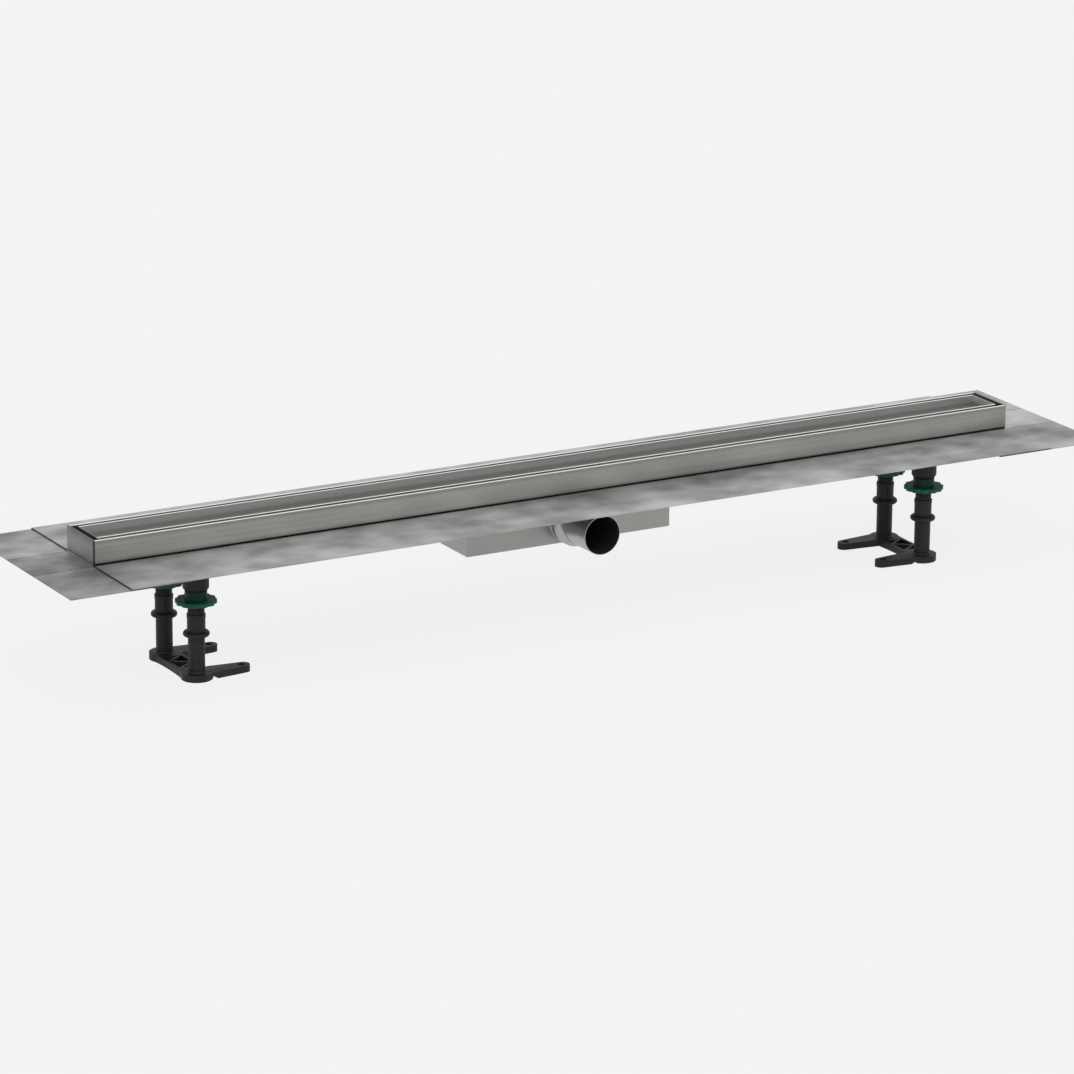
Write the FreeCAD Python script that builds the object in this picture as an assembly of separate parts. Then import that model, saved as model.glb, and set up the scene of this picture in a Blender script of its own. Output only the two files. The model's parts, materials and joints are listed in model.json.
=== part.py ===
import FreeCAD, Part
import math
import os

# Linear shower drain for a tiled floor, in millimetres. +X runs along the channel, -Y is the
# outlet side and +Z is up. The origin is on the floor under the middle of the channel.

# --- driving dimensions ---------------------------------------------------------------------
flange_level = 157.7        # floor to the top face of the long flange plates
sheet = 1.5                 # stainless sheet of channel, flanges and trap box

channel_length = 1300.0
channel_width = 74.0
upstand_height = 30.5       # rim above the long flange plates
hem_width = 3.0             # folded rim, two layers thick
hem_height = 6.0
hem_round = 1.1
bend_radius = 1.0           # visible side of the bend between wall and foot
end_bend_radius = 2.5       # visible side of the bend between end wall and tongue
corner_round = 1.1

flange_depth = 104.0        # long flange plates, out from the channel wall
end_reach = 77.0            # end flanges, out from the end wall
end_overlap = 79.0          # end flanges, inwards under the long plates
foot_flange_depth = 25.0    # foot of each long wall, under the long plate
plate_joint = 0.3           # open joint between neighbouring plates

strip_width = 1.9           # black sealing strip along the wall
strip_height = 1.6          # above the long plates
strip_end_gap = 3.0

gutter_end_ledge = 160.0    # level floor between each end and the sloped gutter
gutter_width = 62.0
gutter_depth = 7.5          # at the trap
trap_hole_radius = 25.5

trap_length = 290.0
trap_width = 68.0
trap_height = 60.0          # below the lower flange layer
trap_edge_radius = 1.0

outlet_radius = 25.0        # DN 50 spigot
outlet_wall = 1.2
outlet_drop = 33.3          # outlet axis below the flange level
outlet_mouth = 115.0        # channel middle to the mouth of the spigot
socket_length = 33.0
socket_radius = 28.0
socket_wall = 1.2
socket_foot_radius = 30.0
bead_radius = 29.8
bead_half_width = 3.0
bead_offsets = (10.0, 20.0)  # from the trap box
spigot_insert = 27.0        # spigot inside the socket
spigot_step = 1.0           # the inserted end is necked down by this much in radius
lip_gap = 0.15              # socket lip round the inserted end
ring_clearance = 0.2
seal_half_width = 1.7

dip_flange_radius = 28.0
dip_flange_thickness = 2.5
dip_radius = 18.0
dip_wall = 1.5
dip_depth = 49.0            # end of the dip tube below the flange level
skirt_height = 7.0
skirt_gap = 0.3
skirt_wall = 1.5
gasket_thickness = 1.0
cup_gap = 1.0               # cup to the edge of the trap hole
cup_wall = 1.5
cup_floor = 2.0
cup_rim_depth = 24.0        # overflow level below the flange level
cup_floor_gap = 7.0         # under the end of the dip tube
strap_count = 3
strap_thickness = 1.9
strap_width = 8.0
strap_overlap = 5.0
strap_gap = 0.05

strainer_wall = 0.8
strainer_rim = 24.0
strainer_depth = 14.0
strainer_gap = 0.6
strainer_hole_radius = 1.8
strainer_hole_pitch = 5.5   # between the circles of holes
strainer_circles = 3

tray_width = 54.0
tray_end_gap = 8.0          # tray end to the outside of the end wall
tray_depth = 13.0           # tile recess
tray_sheet = 1.2
tray_hem_height = 5.0
buffer_gap = 0.2
buffer_drop = 1.5           # below the rim
buffer_height = 13.0

support_end_inset = 90.0    # outer tray supports, inboard of the channel's ends
support_trap_offset = 85.0  # inner tray supports, outboard of the trap box
support_length = 24.0
support_side_gap = 0.2
support_cheek_gap = 0.2
support_cheek_rise = 6.0
support_leg = 3.2
support_crown = 7.0
support_arch_radius = 5.0

post_end_inset = 130.0      # post axis inboard of the channel's end
post_wall_offset = 7.5      # post axis outside the channel wall
base_height = 8.7
pad_radius = 18.9
arm_root_radius = 14.0
arm_root_place = 8.0
arm_tip_radius = 8.3
arm_reach = 62.0            # post axis to the centre of the arm tip
arm_hole_place = 59.5
arm_hole_radius = 4.5
notch_place = 14.4          # drain notch under the arm, beside the pad
notch_lean = 1.5
notch_width = 8.5
notch_height = 4.0
notch_depth = 14.0
bar_half_width = 17.5
bar_waist = 15.0
bar_rim = 3.5
pocket_depth = 6.5
pocket_reach = 23.0
rib = 3.4
bar_bays = 3

stem_radius = 10.4          # also the thread of the leg
stem_top = 53.6
stem_bore = 7.1
stem_bore_floor = 3.0
stem_root_radius = 11.4
stem_root_height = 2.0

ring_radius = 16.2
ring_height = 6.6
plug_radius = 7.0
plug_length = 25.0
shank_radius = 11.1
shank_lip_radius = 11.5
shank_lip_height = 5.0
shank_length = 21.5
shank_slot = 1.0
front_slot_turn = 90.0      # degrees that a leg is turned from its slot facing -Y
back_slot_turn = -15.0
thread_length = 46.0
thread_chamfer = 1.5

nut_gap = 13.3              # leg shoulder to the underside of the nut
nut_radius = 25.3
nut_notch_radius = 23.3
nut_lobes = 12
nut_lobe_share = 0.62       # share of each pitch that is lobe
nut_disc = 5.4
nut_hub_radius = 13.6
nut_hub_height = 11.0
nut_spigot_radius = 12.2
nut_spigot_height = 7.8
running_gap = 0.3           # between turning, sliding and fixed pieces

socket_tube_radius = 16.0
socket_end_radius = 13.8    # chamfered end that stands on the nut
socket_end_height = 3.0
socket_bore = 11.1
socket_counterbore_depth = 8.5
socket_cap = 4.0
stud_radius = 4.0
stud_length = 12.0
stud_gap = 0.2
stud_nut_flats = 13.0
stud_nut_height = 6.5

# --- places worked out from them ------------------------------------------------------------
half_length = channel_length / 2
half_width = channel_width / 2
rim_top = flange_level + upstand_height
lower_top = flange_level - sheet        # top of the layer under the long plates
lower_bottom = lower_top - sheet
wall_in_x = half_length - sheet
wall_in_y = half_width - sheet
hem_in_x = half_length - hem_width
hem_in_y = half_width - hem_width
flange_edge_y = half_width + flange_depth
plate_edge_x = half_length + end_reach
overlap_edge_x = half_length - end_overlap

gutter_floor = lower_top - gutter_depth
trap_bottom = lower_bottom - trap_height
trap_face = -trap_width / 2
outlet_z = flange_level - outlet_drop

tray_half_x = half_length - tray_end_gap
tray_half_y = tray_width / 2
tray_bottom = rim_top - tray_depth - tray_sheet
outer_support = half_length - support_end_inset
inner_support = trap_length / 2 + support_trap_offset

post_x = half_length - post_end_inset
post_y = half_width + post_wall_offset
ring_top = stem_top + ring_height
shoulder = ring_top + shank_length
thread_top = shoulder + thread_length
nut_bottom = shoulder + nut_gap
nut_hub_top = nut_bottom + nut_disc + nut_hub_height
socket_bottom = nut_hub_top + running_gap
socket_top = lower_bottom
cap_bottom = socket_top - socket_cap

past = 1.0                  # how far a cutter runs beyond what it opens
Z_AXIS = FreeCAD.Vector(0, 0, 1)
Y_AXIS = FreeCAD.Vector(0, 1, 0)


# --- helpers --------------------------------------------------------------------------------
def point(x, y, z):
    return FreeCAD.Vector(x, y, z)


def block(x, y, z):
    """Box from three (low, high) pairs."""
    return Part.makeBox(x[1] - x[0], y[1] - y[0], z[1] - z[0], point(x[0], y[0], z[0]))


def cylinder(radius, low, high, x=0.0, y=0.0):
    """Upright cylinder between two heights."""
    return Part.makeCylinder(radius, high - low, point(x, y, low))


def polygon(points):
    """Face inside a closed run of straight lines."""
    return Part.Face(Part.makePolygon(points + points[:1]))


def turned(profile):
    """Solid of revolution about the Z axis from (radius, z) points."""
    return polygon([point(r, 0, z) for r, z in profile]).revolve(point(0, 0, 0), Z_AXIS, 360)


def bend(points, radius):
    """Wire through the points, with each inner corner rounded to the radius."""
    edges = []
    start = points[0]
    for corner, after in zip(points[1:-1], points[2:]):
        back = (start - corner).normalize()
        ahead = (after - corner).normalize()
        half_turn = back.getAngle(ahead) / 2
        reach = radius / math.tan(half_turn)
        inward = (back + ahead).normalize()
        centre = corner + inward * (radius / math.sin(half_turn))
        first = corner + back * reach
        last = corner + ahead * reach
        edges.append(Part.LineSegment(start, first).toShape())
        edges.append(Part.Arc(first, centre - inward * radius, last).toShape())
        start = last
    edges.append(Part.LineSegment(start, points[-1]).toShape())
    return edges


def folded(points, hidden_points, radius, thickness):
    """Face of a bent sheet, whose hidden side bends one thickness wider."""
    visible = bend(points, radius)
    hidden = bend(hidden_points, radius + thickness)
    ends = [
        Part.LineSegment(points[0], hidden_points[0]).toShape(),
        Part.LineSegment(points[-1], hidden_points[-1]).toShape(),
    ]
    return Part.Face(Part.Wire(Part.__sortEdges__(visible + hidden + ends)))


def edges_where(shape, test):
    """Edges whose two ends both pass the test."""
    return [e for e in shape.Edges if all(test(v.Point) for v in e.Vertexes)]


def near(a, b):
    return abs(a - b) < 1e-4


def mirrored_x(shape):
    return shape.mirror(point(0, 0, 0), point(1, 0, 0))


def mirrored_y(shape):
    return shape.mirror(point(0, 0, 0), point(0, 1, 0))


def save(name, shape):
    """Write one sub-part as a STEP file."""
    if len(shape.Solids) == 1:
        shape = shape.Solids[0]
    shape.exportStep(f"parts/{name}.step")


# --- channel walls and flange plates --------------------------------------------------------
def front_wall():
    """Folded sheet: foot flange, upright wall and pressed hem along the rim."""
    foot_edge = -half_width - foot_flange_depth
    visible = [
        point(0, foot_edge, lower_top),
        point(0, -half_width, lower_top),
        point(0, -half_width, rim_top - hem_height),
    ]
    hidden = [
        point(0, foot_edge, lower_bottom),
        point(0, -wall_in_y, lower_bottom),
        point(0, -wall_in_y, rim_top - hem_height),
    ]
    section = folded(visible, hidden, bend_radius, sheet)
    section.translate(point(-wall_in_x, 0, 0))
    wall = section.extrude(point(2 * wall_in_x, 0, 0))
    hem = block((-wall_in_x, wall_in_x), (-half_width, -hem_in_y), (rim_top - hem_height, rim_top))
    hem = hem.makeFillet(hem_round, top_long_edges(hem))
    wall = wall.fuse(hem).removeSplitter()
    keep = overlap_edge_x - plate_joint
    for side in (-1, 1):
        ends = sorted((side * keep, side * half_length))
        heights = (lower_bottom - past, lower_top + bend_radius + past)
        wall = wall.cut(block(ends, (foot_edge - past, -half_width), heights))
    return wall


def top_long_edges(hem):
    """The two long edges along the top of a rim bar."""
    return [e for e in edges_where(hem, lambda p: near(p.z, rim_top)) if e.Length > 2 * hem_width]


def left_end_plate():
    """Folded sheet: tongue, end wall across the whole channel and pressed hem."""
    visible = [
        point(-plate_edge_x, 0, lower_top),
        point(-half_length, 0, lower_top),
        point(-half_length, 0, rim_top),
    ]
    hidden = [
        point(-plate_edge_x, 0, lower_bottom),
        point(-wall_in_x, 0, lower_bottom),
        point(-wall_in_x, 0, rim_top),
    ]
    section = folded(visible, hidden, end_bend_radius, sheet)
    section.translate(point(0, -half_width, 0))
    plate = section.extrude(point(0, channel_width, 0))
    outer_face_edges = edges_where(plate, lambda p: near(p.x, -half_length))
    corners = [e for e in outer_face_edges if near(e.BoundBox.ZLength, e.Length)]
    plate = plate.makeFillet(corner_round, corners)
    hem = block((-wall_in_x, -hem_in_x), (-hem_in_y, hem_in_y), (rim_top - hem_height, rim_top))
    plate = plate.fuse(hem).removeSplitter()
    for side in (-1, 1):
        sides = sorted((side * (half_width - plate_joint), side * (half_width + past)))
        run = (-plate_edge_x - past, -half_length - end_bend_radius)
        plate = plate.cut(block(run, sides, (lower_bottom - past, lower_top + past)))
    return plate


def front_left_corner_plate():
    """Flat sheet beside the tongue that runs on under the long plate."""
    length = (-plate_edge_x, -overlap_edge_x)
    return block(length, (-flange_edge_y, -half_width), (lower_bottom, lower_top))


def front_flange_plate():
    """Long sheet on top of the wall's foot and the corner plates."""
    inner_edge = -half_width - strip_width
    return block((-half_length, half_length), (-flange_edge_y, inner_edge), (lower_top, flange_level))


def front_sealing_strip():
    """Soft strip in the joint between the wall and the long plate, chamfered over the bend."""
    reach = half_length - strip_end_gap
    outer = -half_width - strip_width
    top = flange_level + strip_height
    section = polygon([
        point(-reach, outer, lower_top),
        point(-reach, -half_width - bend_radius, lower_top),
        point(-reach, -half_width, lower_top + bend_radius),
        point(-reach, -half_width, top),
        point(-reach, outer, top),
    ])
    return section.extrude(point(2 * reach, 0, 0))


# --- floor pan, trap and outlet -------------------------------------------------------------
def gutter_wedge(top, depth, width):
    """Shallow solid, deepest over the trap, as wide as asked."""
    ends = half_length - gutter_end_ledge
    middle = trap_length / 2
    outline = [
        point(-ends, -width / 2, top),
        point(-middle, -width / 2, top - depth),
        point(middle, -width / 2, top - depth),
        point(ends, -width / 2, top),
    ]
    return polygon(outline).extrude(point(0, width, 0))


def gutter_outside():
    """Outer form of the pressed gutter, below the ledges."""
    return gutter_wedge(lower_bottom, gutter_depth, gutter_width + 2 * sheet)


def floor_pan():
    """Floor between the walls, with the gutter pressed in and the trap hole."""
    pan = block((-wall_in_x, wall_in_x), (-wall_in_y, wall_in_y), (lower_bottom, lower_top))
    pan = pan.fuse(gutter_outside())
    pan = pan.cut(gutter_wedge(lower_top, gutter_depth, gutter_width))
    hole = cylinder(trap_hole_radius, gutter_floor - sheet - past, gutter_floor + past)
    return pan.cut(hole).removeSplitter()


def along_outlet(profile):
    """Solid of revolution about the outlet axis from (radius, distance from the trap box) points."""
    outline = polygon([point(r, trap_face - d, outlet_z) for r, d in profile])
    return outline.revolve(point(0, 0, outlet_z), Y_AXIS, 360)


def trap_housing():
    """Open-topped box welded under the floor pan, with the outlet hole in its front."""
    half = trap_length / 2
    outer = block((-half, half), (trap_face, -trap_face), (trap_bottom, lower_bottom))
    open_edges = edges_where(outer, lambda p: near(p.z, lower_bottom))
    rounded = [e for e in outer.Edges if not any(e.isSame(mouth) for mouth in open_edges)]
    outer = outer.makeFillet(trap_edge_radius, rounded)
    inner = block(
        (-half + sheet, half - sheet),
        (trap_face + sheet, -trap_face - sheet),
        (trap_bottom + sheet, lower_bottom),
    )
    inside = -sheet - past
    outlet_hole = along_outlet([(0, inside), (outlet_radius, inside), (outlet_radius, past), (0, past)])
    return outer.cut(inner).cut(gutter_outside()).cut(outlet_hole)


def socket_profile(inset):
    """(radius, distance) points down the beaded socket, moved inwards by the inset."""
    foot_run = socket_foot_radius - socket_radius
    points = [(socket_foot_radius - inset, 0.0), (socket_radius - inset, foot_run)]
    for middle in bead_offsets:
        for share in (-1.0, -0.5, 0.0, 0.5, 1.0):
            swell = (bead_radius - socket_radius) * math.cos(share * math.pi / 2)
            points.append((socket_radius + swell - inset, middle + share * bead_half_width))
    points.append((socket_radius - inset, socket_length - inset))
    return points


def outlet_socket():
    """Beaded socket welded to the box; its lip closes round the spigot."""
    lip = outlet_radius - spigot_step + lip_gap
    outside = socket_profile(0.0)
    outside.append((socket_radius, socket_length))
    outside = along_outlet(outside + [(0, socket_length), (0, 0)])
    inside = socket_profile(socket_wall)
    inside = along_outlet(inside + [(0, socket_length - socket_wall), (0, 0)])
    mouth = along_outlet([(0, 0), (lip, 0), (lip, socket_length + past), (0, socket_length + past)])
    return outside.cut(inside).cut(mouth)


def outlet_seal():
    """Lip ring in the front bead, round the spigot."""
    outer = bead_radius - socket_wall - ring_clearance
    inner = outlet_radius - spigot_step + ring_clearance
    middle = bead_offsets[-1]
    back = middle - seal_half_width
    front = middle + seal_half_width
    crown = seal_half_width / 2
    return along_outlet([
        (inner, back), (outer - crown, back), (outer, middle), (outer - crown, front),
        (inner + crown, front), (inner, middle),
    ])


def outlet_spigot():
    """Plain pipe end for the drain pipe, necked down where it goes into the socket."""
    start = socket_length - spigot_insert
    end = outlet_mouth + trap_face
    bore = outlet_radius - outlet_wall
    neck = outlet_radius - spigot_step
    neck_bore = neck - outlet_wall
    bore_start = socket_length + outlet_wall
    return along_outlet([
        (neck_bore, start), (neck, start), (neck, socket_length), (outlet_radius, socket_length),
        (outlet_radius, end), (bore, end), (bore, bore_start), (neck_bore, bore_start),
    ])


def trap_gasket():
    """Flat ring between the gutter floor and the dip tube's flange."""
    top = gutter_floor + gasket_thickness
    ring = cylinder(dip_flange_radius, gutter_floor, top)
    return ring.cut(cylinder(trap_hole_radius, gutter_floor - past, top + past))


def dip_tube():
    """Flanged tube that leads the water down into the cup, with a skirt that centres it."""
    bottom = flange_level - dip_depth
    seat = gutter_floor + gasket_thickness
    top = seat + dip_flange_thickness
    skirt = trap_hole_radius - skirt_gap
    skirt_low = seat - skirt_height
    bore = dip_radius - dip_wall
    return turned([
        (bore, bottom), (dip_radius, bottom), (dip_radius, seat),
        (skirt - skirt_wall, seat), (skirt - skirt_wall, skirt_low), (skirt, skirt_low),
        (skirt, seat), (dip_flange_radius, seat), (dip_flange_radius, top), (bore, top),
    ])


def trap_cup():
    """Cup that holds the water seal, hung from the skirt by straps."""
    outer = trap_hole_radius - cup_gap
    rim = flange_level - cup_rim_depth
    floor_top = flange_level - dip_depth - cup_floor_gap
    cup = turned([
        (0, floor_top - cup_floor), (outer, floor_top - cup_floor), (outer, rim),
        (outer - cup_wall, rim), (outer - cup_wall, floor_top), (0, floor_top),
    ])
    skirt_low = gutter_floor + gasket_thickness - skirt_height
    strap_out = trap_hole_radius - skirt_gap - skirt_wall - strap_gap
    strap_in = strap_out - strap_thickness
    low = rim - strap_overlap
    high = skirt_low + strap_overlap
    hoop = cylinder(strap_out, low, high).cut(cylinder(strap_in, low - past, high + past))
    for index in range(strap_count):
        window = block((0, outer + past), (-strap_width / 2, strap_width / 2), (low, high))
        window.rotate(point(0, 0, 0), Z_AXIS, 360 * index / strap_count)
        cup = cup.fuse(hoop.common(window))
    return cup.removeSplitter()


def hair_strainer():
    """Perforated basket that hangs in the dip tube."""
    seat = gutter_floor + gasket_thickness + dip_flange_thickness
    outer = dip_radius - dip_wall - strainer_gap
    low = seat - strainer_depth
    basket = turned([
        (0, low), (outer, low), (outer, seat), (strainer_rim, seat), (strainer_rim, seat + strainer_wall),
        (outer - strainer_wall, seat + strainer_wall), (outer - strainer_wall, low + strainer_wall),
        (0, low + strainer_wall),
    ])
    for circle in range(strainer_circles):
        radius = circle * strainer_hole_pitch
        count = max(1, 6 * circle)
        for index in range(count):
            angle = 2 * math.pi * index / count
            x = radius * math.cos(angle)
            y = radius * math.sin(angle)
            basket = basket.cut(cylinder(strainer_hole_radius, low, low + strainer_wall, x, y))
    return basket


# --- tile tray ------------------------------------------------------------------------------
def tile_tray():
    """Pan that takes the tile, with a pressed hem all round."""
    outer = block((-tray_half_x, tray_half_x), (-tray_half_y, tray_half_y), (tray_bottom, rim_top))
    recess = block(
        (-tray_half_x + tray_sheet, tray_half_x - tray_sheet),
        (-tray_half_y + tray_sheet, tray_half_y - tray_sheet),
        (tray_bottom + tray_sheet, rim_top - tray_hem_height),
    )
    mouth = block(
        (-tray_half_x + 2 * tray_sheet, tray_half_x - 2 * tray_sheet),
        (-tray_half_y + 2 * tray_sheet, tray_half_y - 2 * tray_sheet),
        (rim_top - tray_hem_height, rim_top),
    )
    return outer.cut(recess).cut(mouth)


def left_tray_buffer():
    """Soft bar across the tray's end that centres it in the frame."""
    reach = hem_in_y - buffer_gap
    top = rim_top - buffer_drop
    return block((-hem_in_x + buffer_gap, -tray_half_x), (-reach, reach), (top - buffer_height, top))


def tray_support():
    """Moulded saddle that stands on the ledges and leaves the gutter open under its arch."""
    reach = hem_in_y - support_side_gap
    seat = tray_half_y + support_cheek_gap
    cheek_top = tray_bottom + support_cheek_rise
    crown = tray_bottom - support_crown
    length = (-support_length / 2, support_length / 2)
    saddle = block(length, (-reach, reach), (lower_top, cheek_top))
    saddle = saddle.cut(block(length, (-seat, seat), (tray_bottom, cheek_top)))
    arch = block(length, (-reach + support_leg, reach - support_leg), (lower_top, crown))
    crown_edges = edges_where(arch, lambda p: near(p.z, crown))
    shoulders = [e for e in crown_edges if near(e.Length, support_length)]
    return saddle.cut(arch.makeFillet(support_arch_radius, shoulders))


# --- feet -----------------------------------------------------------------------------------
def tapered_arm(side):
    """Outline of one arm: a wide root and a round tip, joined by their common tangents."""
    y = side * post_y
    run = arm_reach - arm_root_place
    lean = math.asin((arm_root_radius - arm_tip_radius) / run)
    corners = []
    for turn in (1, -1):
        for x, radius in ((arm_root_place, arm_root_radius), (arm_reach, arm_tip_radius)):
            corners.append(point(x + radius * math.sin(lean), y + turn * radius * math.cos(lean), 0))
    web = polygon([corners[0], corners[1], corners[3], corners[2]]).extrude(point(0, 0, base_height))
    root = cylinder(arm_root_radius, 0, base_height, arm_root_place, y)
    tip = cylinder(arm_tip_radius, 0, base_height, arm_reach, y)
    return root.fuse(web).fuse(tip)


def waisted_bar():
    """Bar between the two posts, narrowest in its middle."""
    front_left = point(-bar_half_width, -post_y, 0)
    front_right = point(bar_half_width, -post_y, 0)
    back_left = point(-bar_half_width, post_y, 0)
    back_right = point(bar_half_width, post_y, 0)
    outline = Part.Wire([
        Part.Arc(front_left, point(-bar_waist, 0, 0), back_left).toShape(),
        Part.LineSegment(back_left, back_right).toShape(),
        Part.Arc(back_right, point(bar_waist, 0, 0), front_right).toShape(),
        Part.LineSegment(front_right, front_left).toShape(),
    ])
    return Part.Face(outline).extrude(point(0, 0, base_height))


def bar_pockets():
    """Pockets in the top of the bar, between ribs that run zigzag."""
    reach_x = bar_waist - bar_rim
    floor = base_height - pocket_depth
    pockets = block((-reach_x, reach_x), (-pocket_reach, pocket_reach), (floor, base_height))
    bay = 2 * pocket_reach / bar_bays
    lean = math.degrees(math.atan2(bay, 2 * reach_x))
    for index in range(bar_bays):
        bar = block((-bar_half_width, bar_half_width), (-rib / 2, rib / 2), (0, base_height))
        bar.rotate(point(0, 0, 0), Z_AXIS, lean * (-1) ** index)
        bar.translate(point(0, (index + 0.5) * bay - pocket_reach, 0))
        pockets = pockets.cut(bar)
    return pockets


def arm_notch(side):
    """Wedge cut under the arm, in from its outer edge."""
    outside = side * (post_y + arm_root_radius + past)
    outline = polygon([
        point(notch_place, outside, 0),
        point(notch_place + notch_lean, outside, notch_height),
        point(notch_place + notch_width, outside, 0),
    ])
    return outline.extrude(point(0, -side * (notch_depth + past), 0))


def right_facing_base():
    """Double foot about its own middle, with its arms along +X."""
    base = waisted_bar()
    for side in (-1, 1):
        base = base.fuse(cylinder(pad_radius, 0, base_height, 0, side * post_y)).fuse(tapered_arm(side))
    base = base.cut(bar_pockets())
    for side in (-1, 1):
        base = base.cut(arm_notch(side))
        base = base.cut(cylinder(arm_hole_radius, 0, base_height, arm_hole_place, side * post_y))
        stem = turned([
            (0, 0), (stem_root_radius, 0), (stem_root_radius, base_height),
            (stem_radius, base_height + stem_root_height), (stem_radius, stem_top), (0, stem_top),
        ])
        stem.translate(point(0, side * post_y, 0))
        base = base.fuse(stem)
        base = base.cut(cylinder(stem_bore, stem_bore_floor, stem_top, 0, side * post_y))
    return base.removeSplitter()


def leg():
    """Plug, round-edged ring, smooth shank and threaded end, moulded in one."""
    round_radius = ring_height / 2
    middle = stem_top + round_radius
    edge = ring_radius - round_radius
    axis_low = point(0, 0, stem_top)
    axis_high = point(0, 0, ring_top)
    edge_low = point(edge, 0, stem_top)
    edge_high = point(edge, 0, ring_top)
    ring_half = Part.Wire([
        Part.LineSegment(axis_low, edge_low).toShape(),
        Part.Arc(edge_low, point(ring_radius, 0, middle), edge_high).toShape(),
        Part.LineSegment(edge_high, axis_high).toShape(),
        Part.LineSegment(axis_high, axis_low).toShape(),
    ])
    ring = Part.Face(ring_half).revolve(axis_low, Z_AXIS, 360)
    plug = cylinder(plug_radius, stem_top - plug_length, stem_top)
    lip_low = shoulder - shank_lip_height
    shank = turned([
        (0, ring_top), (shank_radius, ring_top), (shank_radius, lip_low), (shank_lip_radius, lip_low),
        (shank_lip_radius, shoulder), (stem_radius, shoulder), (stem_radius, thread_top - thread_chamfer),
        (stem_radius - thread_chamfer, thread_top), (0, thread_top),
    ])
    slot = block(
        (-shank_slot / 2, shank_slot / 2),
        (-shank_lip_radius - past, -shank_radius + shank_slot),
        (ring_top, lip_low),
    )
    return plug.fuse(ring).fuse(shank).cut(slot).removeSplitter()


def nut_outline():
    """Wavy rim: an outward arc for each lobe and an inward arc between lobes."""
    pitch = 2 * math.pi / nut_lobes
    half_lobe = pitch * nut_lobe_share / 2
    shoulder_radius = (nut_radius + nut_notch_radius) / 2

    def at(radius, angle):
        return point(radius * math.cos(angle), radius * math.sin(angle), 0)

    edges = []
    for index in range(nut_lobes):
        middle = index * pitch
        start = at(shoulder_radius, middle - half_lobe)
        end = at(shoulder_radius, middle + half_lobe)
        after = at(shoulder_radius, middle + pitch - half_lobe)
        edges.append(Part.Arc(start, at(nut_radius, middle), end).toShape())
        edges.append(Part.Arc(end, at(nut_notch_radius, middle + pitch / 2), after).toShape())
    return Part.Wire(edges)


def levelling_nut():
    """Hand nut on the leg's thread; its hub carries the socket and its spigot centres it."""
    disc = Part.Face(nut_outline()).extrude(point(0, 0, nut_disc))
    disc.translate(point(0, 0, nut_bottom))
    bore = stem_radius + running_gap
    body = turned([
        (bore, nut_bottom), (nut_hub_radius, nut_bottom),
        (nut_hub_radius, nut_hub_top), (nut_spigot_radius, nut_hub_top),
        (nut_spigot_radius, nut_hub_top + nut_spigot_height), (bore, nut_hub_top + nut_spigot_height),
    ])
    disc = disc.cut(cylinder(bore, nut_bottom - past, nut_hub_top))
    return disc.fuse(body).removeSplitter()


def leg_socket():
    """Tube under the flange that stands on the nut and hangs on a welded stud."""
    counterbore = nut_spigot_radius + running_gap
    step = socket_bottom + socket_counterbore_depth
    hole = stud_radius + stud_gap
    return turned([
        (counterbore, socket_bottom), (socket_end_radius, socket_bottom),
        (socket_tube_radius, socket_bottom + socket_end_height), (socket_tube_radius, socket_top),
        (hole, socket_top), (hole, cap_bottom), (socket_bore, cap_bottom), (socket_bore, step),
        (counterbore, step),
    ])


def flange_stud():
    """Stud welded under the foot flange."""
    return cylinder(stud_radius, socket_top - stud_length, socket_top)


def stud_nut():
    """Hexagon nut that clamps the socket to the flange."""
    corner = stud_nut_flats / math.sqrt(3)
    low = cap_bottom - stud_nut_height
    turns = [math.pi / 3 * side for side in range(6)]
    corners = [point(corner * math.cos(turn), corner * math.sin(turn), low) for turn in turns]
    nut = polygon(corners).extrude(point(0, 0, stud_nut_height))
    return nut.cut(cylinder(stud_radius, low - past, cap_bottom + past))


def placed(shape, x, y, turn=0.0):
    """Copy of the shape, turned about Z and moved."""
    copy = shape.copy()
    copy.rotate(point(0, 0, 0), Z_AXIS, turn)
    copy.translate(point(x, y, 0))
    return copy


def at_posts(shape):
    """The shape at all four posts, as a group of separate solids."""
    posts = [(x, y) for x in (-post_x, post_x) for y in (-post_y, post_y)]
    return Part.makeCompound([placed(shape, x, y) for x, y in posts])


# --- all sub-parts --------------------------------------------------------------------------
def save_channel():
    front_to_back = {
        "wall": front_wall(),
        "flange_plate": front_flange_plate(),
        "sealing_strip": front_sealing_strip(),
    }
    for name, shape in front_to_back.items():
        save(f"front_{name}", shape)
        save(f"back_{name}", mirrored_y(shape))
    corner = front_left_corner_plate()
    save("front_left_corner_plate", corner)
    save("back_left_corner_plate", mirrored_y(corner))
    save("front_right_corner_plate", mirrored_x(corner))
    save("back_right_corner_plate", mirrored_x(mirrored_y(corner)))
    for name, shape in {"end_plate": left_end_plate(), "tray_buffer": left_tray_buffer()}.items():
        save(f"left_{name}", shape)
        save(f"right_{name}", mirrored_x(shape))
    save("floor_pan", floor_pan())
    save("tile_tray", tile_tray())
    support = tray_support()
    places = (-outer_support, -inner_support, inner_support, outer_support)
    for number, x in enumerate(places, start=1):
        save(f"tray_support_{number}", placed(support, x, 0))


def save_trap():
    save("trap_housing", trap_housing())
    save("outlet_socket", outlet_socket())
    save("outlet_seal", outlet_seal())
    save("outlet_spigot", outlet_spigot())
    save("trap_gasket", trap_gasket())
    save("dip_tube", dip_tube())
    save("trap_cup", trap_cup())
    save("hair_strainer", hair_strainer())


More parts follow.
